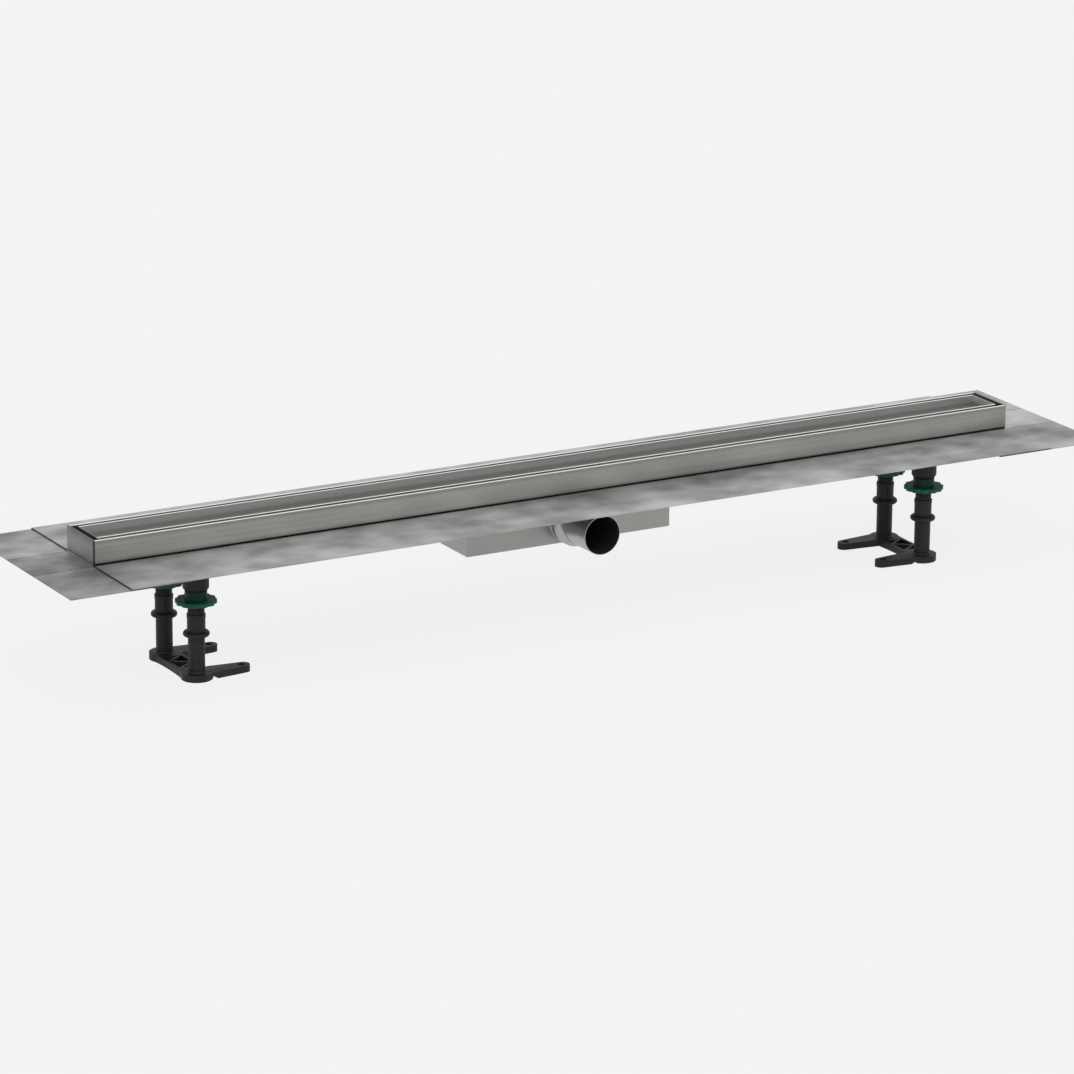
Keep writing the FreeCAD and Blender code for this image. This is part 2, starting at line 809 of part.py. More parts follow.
def save_feet():
    base = right_facing_base()
    save("left_foot_base", placed(base, -post_x, 0))
    save("right_foot_base", placed(base, post_x, 0, 180))
    stem_part = leg()
    nut = levelling_nut()
    socket = leg_socket()
    for end, x in (("left", -post_x), ("right", post_x)):
        for row, y, slot_turn in (("front", -post_y, front_slot_turn), ("back", post_y, back_slot_turn)):
            save(f"{end}_{row}_leg", placed(stem_part, x, y, slot_turn))
            save(f"{end}_{row}_levelling_nut", placed(nut, x, y))
            save(f"{end}_{row}_leg_socket", placed(socket, x, y))
    save("flange_studs", at_posts(flange_stud()))
    save("stud_nuts", at_posts(stud_nut()))


os.makedirs("parts", exist_ok=True)
save_channel()
save_trap()
save_feet()
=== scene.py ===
# %% [markdown]
# # A channel drain for a tiled shower floor
# The drain comes from the construction model as a set of finished solids, which we call the frame.
# Blender's work is what a builder's eye would miss on those solids: how each metal sheet was rolled
# or brushed, the screw threads of the feet, and the soft edges of moulded plastic.
# Everything is in metres and already in its place, so nothing has to be fitted by hand.

# %% Load the frame
import bmesh
import bpy
import json
import math
from mathutils import Matrix, Vector

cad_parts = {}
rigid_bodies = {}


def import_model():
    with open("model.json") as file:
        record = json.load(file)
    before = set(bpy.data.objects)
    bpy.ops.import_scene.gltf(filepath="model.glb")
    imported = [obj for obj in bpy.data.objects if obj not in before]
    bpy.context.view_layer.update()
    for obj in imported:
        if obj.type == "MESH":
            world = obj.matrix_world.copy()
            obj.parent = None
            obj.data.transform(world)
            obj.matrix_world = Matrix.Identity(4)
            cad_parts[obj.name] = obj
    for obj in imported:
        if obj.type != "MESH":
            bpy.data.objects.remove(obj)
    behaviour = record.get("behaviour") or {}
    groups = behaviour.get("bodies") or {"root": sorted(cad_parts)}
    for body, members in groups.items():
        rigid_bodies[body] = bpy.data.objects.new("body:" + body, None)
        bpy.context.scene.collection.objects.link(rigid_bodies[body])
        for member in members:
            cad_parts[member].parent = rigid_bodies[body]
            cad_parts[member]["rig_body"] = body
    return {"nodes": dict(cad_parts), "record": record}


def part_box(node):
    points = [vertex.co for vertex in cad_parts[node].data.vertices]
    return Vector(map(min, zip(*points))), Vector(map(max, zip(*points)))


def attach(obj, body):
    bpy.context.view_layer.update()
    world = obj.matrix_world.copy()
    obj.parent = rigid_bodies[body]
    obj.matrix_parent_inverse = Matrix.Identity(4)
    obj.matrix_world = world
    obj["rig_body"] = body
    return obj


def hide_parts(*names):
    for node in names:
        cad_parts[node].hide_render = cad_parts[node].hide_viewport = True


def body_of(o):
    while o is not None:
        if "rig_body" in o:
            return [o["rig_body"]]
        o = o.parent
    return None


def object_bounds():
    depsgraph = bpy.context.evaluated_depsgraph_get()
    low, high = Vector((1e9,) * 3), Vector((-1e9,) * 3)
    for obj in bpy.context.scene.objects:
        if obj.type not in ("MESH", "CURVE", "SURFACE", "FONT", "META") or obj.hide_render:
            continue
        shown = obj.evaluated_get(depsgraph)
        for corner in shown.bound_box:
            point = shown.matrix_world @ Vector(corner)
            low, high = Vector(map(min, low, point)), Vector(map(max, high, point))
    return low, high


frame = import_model()
cad_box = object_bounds()
nodes = frame["nodes"]
MM = 0.001
FLANGE_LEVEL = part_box("front_flange_plate")[1][2]
RIM_LEVEL = cad_box[1][2]
CHANNEL_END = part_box("front_flange_plate")[1][0]
CHANNEL_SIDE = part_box("left_end_plate")[1][1]
FLANGE_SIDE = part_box("back_left_corner_plate")[1][1]
SHEET = 1.5 * MM
print(len(nodes), "solids, the drain spans", [tuple(round(v, 4) for v in corner) for corner in cad_box])

# %% [markdown]
# ## The camera
# A long lens from far away keeps the two ends of such a long object nearly the same size, so its
# edges run almost parallel. A Track To constraint could aim the camera, but it can't lean it. So
# the camera's turn is built from three directions: where it looks, what is to its right and what is
# up. That is easier to reason about than three angles in a row.

# %% Camera
CAMERA_PLACE = Vector((-3.1400, -5.4665, 1.9855))
TURN, DIP, LEAN = 29.662, 16.722, 0.476     # degrees: to the right of +Y, downwards, clockwise
scene = bpy.context.scene
camera_data = bpy.data.cameras.new("view")
camera_data.sensor_width = 36.0
camera_data.lens = 176.782
camera_data.clip_end = 100.0
camera = bpy.data.objects.new("view", camera_data)
scene.collection.objects.link(camera)

turn, dip, roll = (math.radians(angle) for angle in (TURN, DIP, LEAN))
ahead = Vector((math.sin(turn) * math.cos(dip), math.cos(turn) * math.cos(dip), -math.sin(dip)))
level_right = Vector((math.cos(turn), -math.sin(turn), 0.0))
level_up = level_right.cross(ahead)
right = level_right * math.cos(roll) + level_up * math.sin(roll)
up = level_up * math.cos(roll) - level_right * math.sin(roll)
turned = Matrix((right, up, -ahead)).transposed().to_4x4()
camera.matrix_world = Matrix.Translation(CAMERA_PLACE) @ turned
scene.camera = camera
print("lens", round(camera_data.lens, 1), "mm")

# %% [markdown]
# ## Writing shaders as sums
# A brushed or cloudy finish is a little arithmetic on noise. Wiring Math nodes by hand hides that,
# so this class wraps one socket and lets Python's own signs add the Math nodes. Every other node
# comes from its `node` method: first its settings, then the values or wires of its sockets. The
# signs' reflected forms are there too, so that 1 - mask works as well as mask - 1.

# %% The wire class
class Wire:
    """One output socket of a material; arithmetic on it adds Math nodes."""

    def __init__(self, tree, socket=None):
        self.tree = tree
        self.socket = socket

    def node(self, kind, settings=None, inputs=None, output=0):
        """Add a node, set it up, feed its sockets and return the chosen output."""
        made = self.tree.nodes.new(kind)
        for name, value in (settings or {}).items():
            if name == "stops":
                ramp = made.color_ramp
                while len(ramp.elements) < len(value):
                    ramp.elements.new(0.5)
                for element, (position, shade) in zip(ramp.elements, value):
                    grey = (shade, shade, shade)
                    element.position = position
                    element.color = (*(shade if isinstance(shade, tuple) else grey), 1.0)
            else:
                setattr(made, name, value)
        for name, value in (inputs or {}).items():
            socket = made.inputs[name]
            if isinstance(value, Wire):
                self.tree.links.new(value.socket, socket)
            else:
                socket.default_value = value
        return Wire(self.tree, made.outputs[output]) if made.outputs else made

    def maths(self, operation, first, second):
        return self.node("ShaderNodeMath", {"operation": operation}, {0: first, 1: second})

    def __add__(self, other):
        return self.maths("ADD", self, other)

    __radd__ = __add__

    def __sub__(self, other):
        return self.maths("SUBTRACT", self, other)

    def __rsub__(self, other):
        return self.maths("SUBTRACT", other, self)

    def __mul__(self, other):
        return self.maths("MULTIPLY", self, other)

    __rmul__ = __mul__

    def __truediv__(self, other):
        return self.maths("DIVIDE", self, other)

    def __pow__(self, other):
        return self.maths("POWER", self, other)

    def __gt__(self, other):
        return self.maths("GREATER_THAN", self, other)

    def __lt__(self, other):
        return self.maths("LESS_THAN", self, other)


print("arithmetic on sockets is ready")

# %% [markdown]
# A few small helpers build on it. `new_finish` starts a material and hands back the place of each
# point, read from Object coordinates so that a pattern stays on its piece when the piece moves.
# `noise` makes cloudy values at a chosen grain, given in millimetres for each direction: a long
# grain in one direction and a short one across it looks brushed. `finish_with` plugs the results
# into the surface shader.

# %% Starting and finishing a material
def new_finish(name):
    """A new material and a wire that carries each point's place, in metres."""
    material = bpy.data.materials.new(name)
    material.use_nodes = True
    material.node_tree.nodes.clear()
    start = Wire(material.node_tree)
    return material, start.node("ShaderNodeTexCoord", output="Object")


def noise(place, grain, detail=3.0, roughness=0.55, offset=0.0):
    """Cloudy values from 0 to 1 whose patches measure grain = (x, y, z) millimetres."""
    stretched = place.node("ShaderNodeMapping", None, {
        "Vector": place,
        "Location": (offset, offset, offset),
        "Scale": tuple(1.0 / (size * MM) for size in grain),
    })
    return place.node(
        "ShaderNodeTexNoise", {"noise_dimensions": "3D"},
        {"Vector": stretched, "Scale": 1.0, "Detail": detail, "Roughness": roughness})


def two_tones(amount, low, high, dark, light):
    """Colour that runs from dark to light while the amount goes from low to high."""
    return amount.node(
        "ShaderNodeValToRGB", {"stops": [(low, dark), (high, light)]}, {"Fac": amount})


def mix_colours(amount, first, second):
    """The first colour where the amount is 0, the second where it is 1."""
    return amount.node(
        "ShaderNodeMix", {"data_type": "RGBA"}, {"Factor": amount, 6: first, 7: second}, output=2)


def bump(height, distance):
    """Shading as if the surface rose by this distance where the height is 1."""
    return height.node(
        "ShaderNodeBump", None, {"Strength": 1.0, "Distance": distance, "Height": height})


def finish_with(place, inputs):
    """Close the material with one surface shader."""
    surface = place.node("ShaderNodeBsdfPrincipled", None, inputs)
    place.node("ShaderNodeOutputMaterial", None, {"Surface": surface})


print("helpers are ready")

# %% [markdown]
# ## Light
# Steel has hardly any colour of its own: it shows what is round it. Several area lamps would draw
# hard bright windows on it, so the light is a pale, even room for calm metal and one broad, soft
# lamp from the front left that gives the plastic its form. The room is brighter for what looks at
# it or mirrors it than for what it lights. That keeps the background pale and the object's depth.

# %% Pale room
PALE = 0.905
SKY_STRENGTH = 0.62
scene.view_settings.view_transform = "Standard"


def watching(start, camera_share=1.0):
    """1 for a ray that the camera, a mirroring surface or glass sends out, 0 for plain light."""
    seen, mirrored, through = (
        start.node("ShaderNodeLightPath", output=f"Is {kind} Ray")
        for kind in ("Camera", "Glossy", "Transmission"))
    return seen * camera_share + mirrored + through


world = bpy.data.worlds.new("pale room")
world.use_nodes = True
world.node_tree.nodes.clear()
scene.world = world
room = Wire(world.node_tree)
sky = room.node(
    "ShaderNodeBackground", None, {"Color": (1.0, 1.0, 1.0, 1.0), "Strength": SKY_STRENGTH})
backdrop = room.node("ShaderNodeBackground", None, {"Color": (PALE, PALE, PALE, 1.0)})
shown = room.node("ShaderNodeMixShader", None, {0: watching(room), 1: sky, 2: backdrop})
room.node("ShaderNodeOutputWorld", None, {"Surface": shown})
print("the room lights with", SKY_STRENGTH, "and looks", PALE)

# %% [markdown]
# A sun lamp shines in one direction from everywhere, so both ends of the long drain get the same
# light. Its wide angle makes the shadows as soft as a large diffuser's.

# %% Soft lamp
lamp_data = bpy.data.lights.new("soft lamp", "SUN")
lamp_data.energy = 1.3
lamp_data.angle = math.radians(70.0)
lamp = bpy.data.objects.new("soft lamp", lamp_data)
scene.collection.objects.link(lamp)
lamp.rotation_euler = Vector((0.45, 0.55, -1.0)).to_track_quat("-Z", "Y").to_euler()
print("lamp strength", lamp_data.energy)

# %% [markdown]
# The floor is one large square of matt pale paint. It keeps the drain's shadow, but a camera and a
# mirroring surface see mostly its even glow, so that it runs into the background without a line.

# %% Floor
FLOOR_SIZE = 40.0
SEEN_AS_GLOW = 0.93
floor_mesh = bpy.data.meshes.new("floor")
shape = bmesh.new()
bmesh.ops.create_grid(shape, x_segments=1, y_segments=1, size=FLOOR_SIZE)
shape.to_mesh(floor_mesh)
shape.free()
floor = bpy.data.objects.new("floor", floor_mesh)
scene.collection.objects.link(floor)

floor_finish, floor_place = new_finish("pale floor")
matt = floor_place.node("ShaderNodeBsdfDiffuse", None, {"Color": (0.88, 0.88, 0.88, 1.0)})
glow = floor_place.node(
    "ShaderNodeEmission", None, {"Color": (PALE, PALE, PALE, 1.0), "Strength": 1.0})
shown = floor_place.node(
    "ShaderNodeMixShader", None, {0: watching(floor_place, SEEN_AS_GLOW), 1: matt, 2: glow})
floor_place.node("ShaderNodeOutputMaterial", None, {"Surface": shown})
floor_mesh.materials.append(floor_finish)
print("floor is ready")

# %% [markdown]
# ## Masks from the place
# A seam, a rim or a bore is a mask: 1 on it and 0 beside it. Painting such masks on images is one
# way, but then every piece needs an unwrapped map. Here the place of a point already tells where it
# is, so a comparison with a length gives a mask that is sharp at any distance.

# %% Measuring the place
# Dark for joints, and for painted shade on edges that face away from the light.
JOINT_OR_SHADE_DARK = (0.02, 0.02, 0.02, 1.0)


def along(place, axis):
    """The place along X, Y or Z as a number."""
    return place.node("ShaderNodeSeparateXYZ", None, {0: place}, output=axis)


def height_of(place):
    """Height above the floor."""
    return along(place, 2)


def size_of(number):
    """The number without its sign, so that one mask serves both ends or both sides."""
    return number.maths("ABSOLUTE", number, 0.0)


def from_middle(first, second):
    """Distance from a middle line, out of the two measures across it."""
    return (first * first + second * second) ** 0.5


def darken_joint_or_shade(inputs, mask):
    """Draw a dark joint, or a painted shaded edge, into the colour where the mask is above 0."""
    inputs["Base Color"] = mix_colours(mask, inputs["Base Color"], JOINT_OR_SHADE_DARK)


print("masks are ready")

# %% [markdown]
# ## Brushed sheet
# The channel is bent from stainless sheet that was brushed along its length. Up close that is a
# bundle of hair-fine scratches, and from a step away faint streaks. A plain grey metal would look
# cast, and a scratch cut into the mesh would cost millions of faces, so noise stretched along the
# sheet goes into the roughness and a shallow bump. The folded rim gets a painted highlight: a mask
# made from the height paints the last few tenths of a millimetre bright. Below the rim and above
# the foot the metal mirrors its neighbours and turns darker, which a ramp over the height repeats
# as painted shade.

# %% What brushed steel is made of
RIM_PAINT_DEPTH = 0.5 * MM       # depth of the painted highlight on a long rim, and of the painted shade on an end plate's rim
WALL_SHADE = [(0.0, 0.45), (0.18, 0.08), (0.4, 0.0), (0.75, 0.06), (0.93, 0.34), (1.0, 0.2)]
EVEN_SHADE = [(0.0, 0.0), (1.0, 0.0)]


def dimmed(place, shade, stops):
    """Painted shade: darken a colour over the height between flange and rim; stops give the darkness.
    """
    rise = (height_of(place) - FLANGE_LEVEL) / (RIM_LEVEL - FLANGE_LEVEL)
    dark = place.node("ShaderNodeValToRGB", {"stops": stops}, {"Fac": rise})
    return mix_colours(dark, shade, (0.0, 0.0, 0.0, 1.0))


def brushed_inputs(place, axis, tone, stops, highlight_reach):
    """What steel brushed along X (0) or Y (1) feeds into the surface shader."""
    fine = [0.5, 0.5, 0.5]
    broad = [4.0, 4.0, 4.0]
    fine[axis] = 60.0
    broad[axis] = 400.0
    hair = noise(place, fine, detail=2.0)
    streak = noise(place, broad, detail=3.0, offset=3.0)
    cloud = noise(place, (70.0, 40.0, 40.0), detail=2.0, offset=7.0)
    shade = hair * 0.25 + streak * 0.45 + cloud * 0.3
    dark = tuple(c * 0.80 for c in tone)
    light = tuple(min(1.0, c * 1.12) for c in tone)
    # Painted highlight: the rim's top is painted bright, as far along X as the reach goes.
    at_rim = height_of(place) > RIM_LEVEL - RIM_PAINT_DEPTH
    rim_highlight = at_rim * (size_of(along(place, 0)) < highlight_reach)
    brushed = dimmed(place, two_tones(shade, 0.3, 0.7, dark, light), stops)
    return {
        "Base Color": mix_colours(rim_highlight, brushed, (0.86, 0.855, 0.84, 1.0)),
        "Metallic": 1.0,
        "Roughness": 0.22 + 0.16 * streak + 0.08 * hair,
        "Normal": bump(hair, 0.00003),
    }


print("brushed steel is ready")

# %% [markdown]
# The long walls end in a welded corner that looks like a dark line from the left. The tray is
# brushed as they are. Its inside is deep and narrow, so it gets painted shade: lighter under the
# lips and darker down to the floor. At each end the lip gets painted black shade, as the gap there
# lies in shadow: one mask turns metal off.

# %% Long walls and tile tray
WALL_SEAM = 2.4 * MM
TRAY_LIP = 5.5 * MM
TRAY_LIT_TO = 7.0 * MM      # below the rim; from here the inside gets darker
TRAY_DARK_FROM = 12.9 * MM
TRAY_END_SHADE = 1.8 * MM        # how far the painted black shade reaches over the tray's end
TRAY_HIGHLIGHT_SHORT = 2.5 * MM    # the painted highlight on the lip stops this short of the end


def brushed_wall(name):
    """Long channel wall, with a dark welded seam at its left end."""
    material, place = new_finish(name)
    inputs = brushed_inputs(place, 0, (0.46, 0.45, 0.43), WALL_SHADE, CHANNEL_END)
    darken_joint_or_shade(inputs, (along(place, 0) < -CHANNEL_END + WALL_SEAM) * 0.8)
    finish_with(place, inputs)
    return material


def brushed_tray(name):
    """Tile tray: a painted highlight on its long lips, painted black shade over the lip at each end."""
    material, place = new_finish(name)
    tray_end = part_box("tile_tray")[1][0]
    inputs = brushed_inputs(place, 0, (0.53, 0.525, 0.515), EVEN_SHADE, tray_end - TRAY_HIGHLIGHT_SHORT)
    height = height_of(place)
    below_lip = height < RIM_LEVEL - 1.0 * MM
    # Painted shade and light inside the tray: lighter under the lips, darker at the floor.
    into_shade = two_tones(
        height, RIM_LEVEL - TRAY_DARK_FROM, RIM_LEVEL - TRAY_LIT_TO,
        (0.21, 0.208, 0.203), (0.74, 0.735, 0.72))
    steel = mix_colours(below_lip * 0.75, inputs["Base Color"], into_shade)
    # Painted shade: the lip at each end is painted black, dull and not metal.
    end_shade = (size_of(along(place, 0)) > tray_end - TRAY_END_SHADE) * (height > RIM_LEVEL - TRAY_LIP)
    inputs["Base Color"] = mix_colours(end_shade, steel, (0.003, 0.003, 0.003, 1.0))
    inputs["Metallic"] = 1.0 - end_shade
    inputs["Roughness"] = inputs["Roughness"] + 0.35 * end_shade
    inputs["Specular IOR Level"] = 0.05
    finish_with(place, inputs)
    return material


wall_finish = brushed_wall("channel steel brushed lengthwise")
tray_finish = brushed_tray("tray steel brushed lengthwise")
print("made", wall_finish.name, "and", tray_finish.name)

# %% [markdown]
# ## Bonding flange
# The wide flange is left as it comes from the rolling mill and roughened so that the waterproofing
# bonds to it. It looks cloudy: soft grey patches a hand wide with smaller ones inside them. One
# noise would look like smoke, so three sizes are added up: patches, blotches and grit.

# %% What the mill finish is made of
def cloudy_inputs(place, lighter=0.0):
    """What the cloudy mill finish feeds into the surface shader."""
    wide = noise(place, (170.0, 120.0, 120.0), detail=3.0, roughness=0.55)
    small = noise(place, (52.0, 40.0, 40.0), detail=4.0, roughness=0.5, offset=5.0)
    grit = noise(place, (1.2, 1.2, 1.2), detail=2.0, offset=9.0)
    cloud = wide * 0.5 + small * 0.44 + grit * 0.06 + lighter
    return {
        "Base Color": two_tones(cloud, 0.34, 0.65, (0.17, 0.17, 0.17), (0.55, 0.55, 0.545)),
        "Metallic": 0.9,
        "Roughness": 0.55 - 0.2 * wide + 0.1 * small,
        "Normal": bump(small * 0.6 + grit * 0.4, 0.00008),
    }


print("mill finish is ready")

# %% [markdown]
# The flange is a patchwork: the long plates lie on the corner plates. Where one sheet steps down to
# the next, its edge faces away from the light and is a dark line. The long plates are also a little
# lighter towards their free edge, where nothing stands over them.

# %% Corner plates and long plates
STEP_REACH = 1.2 * MM
EDGE_REACH = 0.05 * MM


def corner_plate(name):
    """Corner plate: painted shade on its outer edge, where the long plate lies over it."""
    material, place = new_finish(name)
    inputs = cloudy_inputs(place)
    outer_edge = size_of(along(place, 1)) > FLANGE_SIDE - EDGE_REACH
    darken_joint_or_shade(inputs, outer_edge * (size_of(along(place, 0)) < CHANNEL_END) * 0.8)
    finish_with(place, inputs)
    return material


def long_plate(name):
    """Long flange plate: the step at its left end faces away from the light."""
    material, place = new_finish(name)
    outward = (size_of(along(place, 1)) - CHANNEL_SIDE) / (FLANGE_SIDE - CHANNEL_SIDE)
    inputs = cloudy_inputs(place, lighter=outward * 0.05)
    darken_joint_or_shade(inputs, (along(place, 0) < -CHANNEL_END + STEP_REACH) * 0.85)
    finish_with(place, inputs)
    return material


flange_finish = corner_plate("flange mill finish")
long_plate_finish = long_plate("long flange plate mill finish")
print("made", flange_finish.name, "and", long_plate_finish.name)

# %% [markdown]
# The end plates are one sheet with two faces: a brushed end wall that turns into a cloudy flange
# tongue. Two materials would need a split along the fold. Both sets of inputs already exist, so one
# mask from the height chooses between them. The fold's foot is a shade darker, because less light
# reaches into the corner, and so are the joints with the long walls and the corner plates.

# %% End plate: brushed wall above, cloudy tongue below
def folded_plate(name):
    """End wall and flange tongue in one; its rim gets painted shade instead of a painted highlight."""
    material, place = new_finish(name)
    wall = brushed_inputs(place, 1, (0.50, 0.495, 0.48), WALL_SHADE, 0.0)
    tongue = cloudy_inputs(place, lighter=along(place, 0) * 0.11)
    tongue_top = FLANGE_LEVEL - SHEET
    height = height_of(place)
    upright = height > tongue_top + 2.0 * MM
    corner = (height > tongue_top + 0.05 * MM) * (height < tongue_top + 3.0 * MM)
    side_edge = size_of(along(place, 1)) > CHANNEL_SIDE - 1.1 * MM
    left_seam = side_edge * upright * (along(place, 0) < 0.0)
    joint = side_edge * (1.0 - upright)
    sheet = mix_colours(upright, tongue["Base Color"], wall["Base Color"])
    # Painted shade: the rim's top is painted nearly black, so that its reflection stays dark.
    rim_shaded = mix_colours(height > RIM_LEVEL - RIM_PAINT_DEPTH, sheet, (0.06, 0.059, 0.057, 1.0))
    inputs = {
        "Base Color": mix_colours(corner * 0.55, rim_shaded, (0.08, 0.08, 0.08, 1.0)),
        "Metallic": 0.9 + 0.1 * upright,
        "Roughness": tongue["Roughness"] + upright * (wall["Roughness"] - tongue["Roughness"]),
        "Normal": bump(tongue["Roughness"] * (1.0 - upright), 0.00008),
    }
    darken_joint_or_shade(inputs, (left_seam + joint) * 0.8)
    finish_with(place, inputs)
    return material


end_finish = folded_plate("end plate steel")
print("made", end_finish.name)

# %% [markdown]
# ## Trap box and outlet
# The box is plain satin sheet. The outlet pipe is smooth outside, and its bore gets painted shade:
# dark, dull and not metal, as little light gets in. The dark could be a material on picked faces.
# Here it comes from the distance to the pipe's middle line, so it stays on the bore from every side.

# %% Satin steel and the dark bore
OUTLET_HEIGHT = 124.4 * MM
OUTLET_BORE = 24.3 * MM


def satin_sheet(name, tone, bore_radius=None):
    """Satin steel without a direction; nearer to the outlet's middle than the bore it gets painted
    shade, dark and dull.
    """
    material, place = new_finish(name)
    grain = noise(place, (9.0, 9.0, 1.2), detail=3.0)
    cloud = noise(place, (45.0, 45.0, 30.0), detail=2.0, offset=4.0)
    shade = two_tones(grain * 0.4 + cloud * 0.6, 0.3, 0.7, tuple(c * 0.86 for c in tone), tone)
    inputs = {
        "Base Color": shade,
        "Metallic": 1.0,
        "Roughness": 0.3 + 0.15 * cloud,
        "Normal": bump(grain, 0.00003),
    }
    if bore_radius:
        # Painted shade in the bore: dark, dull and not metal.
        inside = from_middle(along(place, 0), height_of(place) - OUTLET_HEIGHT) < bore_radius
        inputs["Base Color"] = mix_colours(inside, shade, (0.004, 0.004, 0.004, 1.0))
        inputs["Metallic"] = 1.0 - inside
        inputs["Roughness"] = inputs["Roughness"] + 0.5 * inside
    finish_with(place, inputs)
    return material


trap_finish = satin_sheet("trap satin steel", (0.36, 0.354, 0.342))
outlet_finish = satin_sheet("outlet steel with a dark bore", (0.47, 0.47, 0.465), OUTLET_BORE)
stud_finish = satin_sheet("turned stud steel", (0.55, 0.55, 0.54))
print("trap and outlet finishes are ready")

# %% [markdown]
# ## Moulded plastic and rubber
# Feet, sockets and trap parts are moulded. Their dark surface is matt with a faint grain from the
# mould, and patches that were handled are a little lighter. Rubber is rougher and blacker. One
# function makes them all, because they differ only in tone, roughness and gloss.

# %% Plastics and rubber
def mould_grain(place):
    """Fine grain of the mould, and the wider patches of handling."""
    grain = noise(place, (0.6, 0.6, 0.6), detail=2.0)
    patch = noise(place, (14.0, 14.0, 9.0), detail=3.0, offset=2.0)
    return grain, patch


def moulded(name, dark, light, roughness, specular=0.35):
    """Moulded plastic or rubber between two close tones."""
    material, place = new_finish(name)
    grain, patch = mould_grain(place)
    finish_with(place, {
        "Base Color": two_tones(patch * 0.75 + grain * 0.25, 0.3, 0.72, dark, light),
        "Roughness": roughness + 0.14 * patch,
        "Specular IOR Level": specular,
        "Normal": bump(grain, 0.00005),
    })
    return material


black_finish = moulded(
    "black moulded plastic", (0.0114, 0.013, 0.0122), (0.02, 0.0225, 0.021), 0.46, 0.24)
trap_plastic_finish = moulded(
    "grey trap plastic", (0.0986, 0.0986, 0.1021), (0.1508, 0.1508, 0.1566), 0.3)
rubber_finish = moulded(
    "black sealing rubber", (0.003, 0.003, 0.003), (0.006, 0.006, 0.006), 0.65, 0.05)
print("made", black_finish.name, "and", rubber_finish.name)

# %% [markdown]
# The hand nuts are green so that the tiler finds them. Their grip rim stands out into the light, and
# the hub sits close under the sheet. The four nuts stand at mirrored places, so the distance from
# one nut's middle, measured with the signs taken off, makes the same mask on all of them.

# %% Green hand nuts
HUB_RADIUS = 14.5 * MM


def moulded_nut(name):
    """Hand nut: a green grip rim round a darker hub that sits in the shade of the sheet."""
    material, place = new_finish(name)
    low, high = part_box("right_back_levelling_nut")      # this nut's place has no minus signs
    x = size_of(along(place, 0)) - (low[0] + high[0]) / 2
    y = size_of(along(place, 1)) - (low[1] + high[1]) / 2
    grain, patch = mould_grain(place)
    rim_green = two_tones(patch, 0.3, 0.72, (0.004, 0.073, 0.045), (0.0065, 0.125, 0.082))
    hub = from_middle(x, y) < HUB_RADIUS
    finish_with(place, {
        "Base Color": mix_colours(hub, rim_green, (0.0006, 0.030, 0.017, 1.0)),
        "Roughness": 0.42 + 0.14 * patch,
        "Specular IOR Level": 0.2,
        "Normal": bump(grain, 0.00005),
    })
    return material


green_finish = moulded_nut("green moulded plastic")
print("made", green_finish.name)

# %% [markdown]
# ## Dressing the solids
# Each solid keeps its shape and gets the finish of its material slot. Three kinds differ from the
# rest of their slot: the end plates are brushed the other way, the long flange plates have their
# dark step, and the outlet has its bore. Two tables say so, which is easier to check than a rule
# for every name.

# %% Give every solid its finish
finish_of_slot = {
    "channel_steel": wall_finish, "tray_steel": tray_finish, "flange_steel": flange_finish,
    "trap_steel": trap_finish, "stud_steel": stud_finish, "black_plastic": black_finish,
    "green_plastic": green_finish, "trap_plastic": trap_plastic_finish, "seal_rubber": rubber_finish,
}
finish_of_node = {
    "left_end_plate": end_finish, "right_end_plate": end_finish,
    "outlet_spigot": outlet_finish, "outlet_socket": outlet_finish,
    "front_flange_plate": long_plate_finish, "back_flange_plate": long_plate_finish,
}
slot_of_node = {part["node"]: part["material_slot"] for part in frame["record"]["subparts"]}


def dress(piece, node):
    """Give a piece the finish that this solid has."""
    finish = finish_of_node.get(node, finish_of_slot[slot_of_node[node]])
    piece.data.materials.clear()
    piece.data.materials.append(finish)


for name, solid in nodes.items():
    dress(solid, name)
print("dressed", len(nodes), "solids")

# %% [markdown]
# ## Softened edges
# A construction solid has perfectly sharp edges, and nothing real has. A folded sheet or a moulded
# part has a small round there that catches a thin line of light. A Bevel modifier would also round
# the many flat strips of a cylinder's cap. So we copy the solid's surface, join its loose triangles,
# merge flat neighbours into whole faces, and bevel only the edges that turn sharply, in two steps.
# A plane that cuts a piece off at a height is needed later as well.

# %% Copy, soften and cut
def copied(node):
    """The solid's surface as a bmesh, with its loose triangles joined and flat faces merged."""
    shape = bmesh.new()
    shape.from_mesh(nodes[node].data)
    shape.transform(nodes[node].matrix_world)
    bmesh.ops.remove_doubles(shape, verts=shape.verts[:], dist=0.002 * MM)
    bmesh.ops.dissolve_limit(
        shape, angle_limit=math.radians(0.5), use_dissolve_boundaries=False,
        verts=shape.verts[:], edges=shape.edges[:])
    return shape


def soften(shape, width):
    """Round every edge that turns by more than 40 degrees."""
    sharp = [
        edge for edge in shape.edges
        if len(edge.link_faces) == 2 and edge.calc_face_angle(0.0) > math.radians(40)]
    bmesh.ops.bevel(
        shape, geom=sharp, offset=width, offset_type="OFFSET", affect="EDGES", segments=2,
        profile=0.5, material=-1, clamp_overlap=True)


def cut_above(shape, height):
    """Remove what stands above this height and close the cut."""
    whole = shape.verts[:] + shape.edges[:] + shape.faces[:]
    bmesh.ops.bisect_plane(
        shape, geom=whole, dist=0.0001 * MM, plane_co=(0.0, 0.0, height), plane_no=(0.0, 0.0, 1.0),
        clear_outer=True, clear_inner=False)
    open_edges = [edge for edge in shape.edges if edge.is_boundary]
    bmesh.ops.holes_fill(shape, edges=open_edges, sides=0)


print("softening tools are ready")

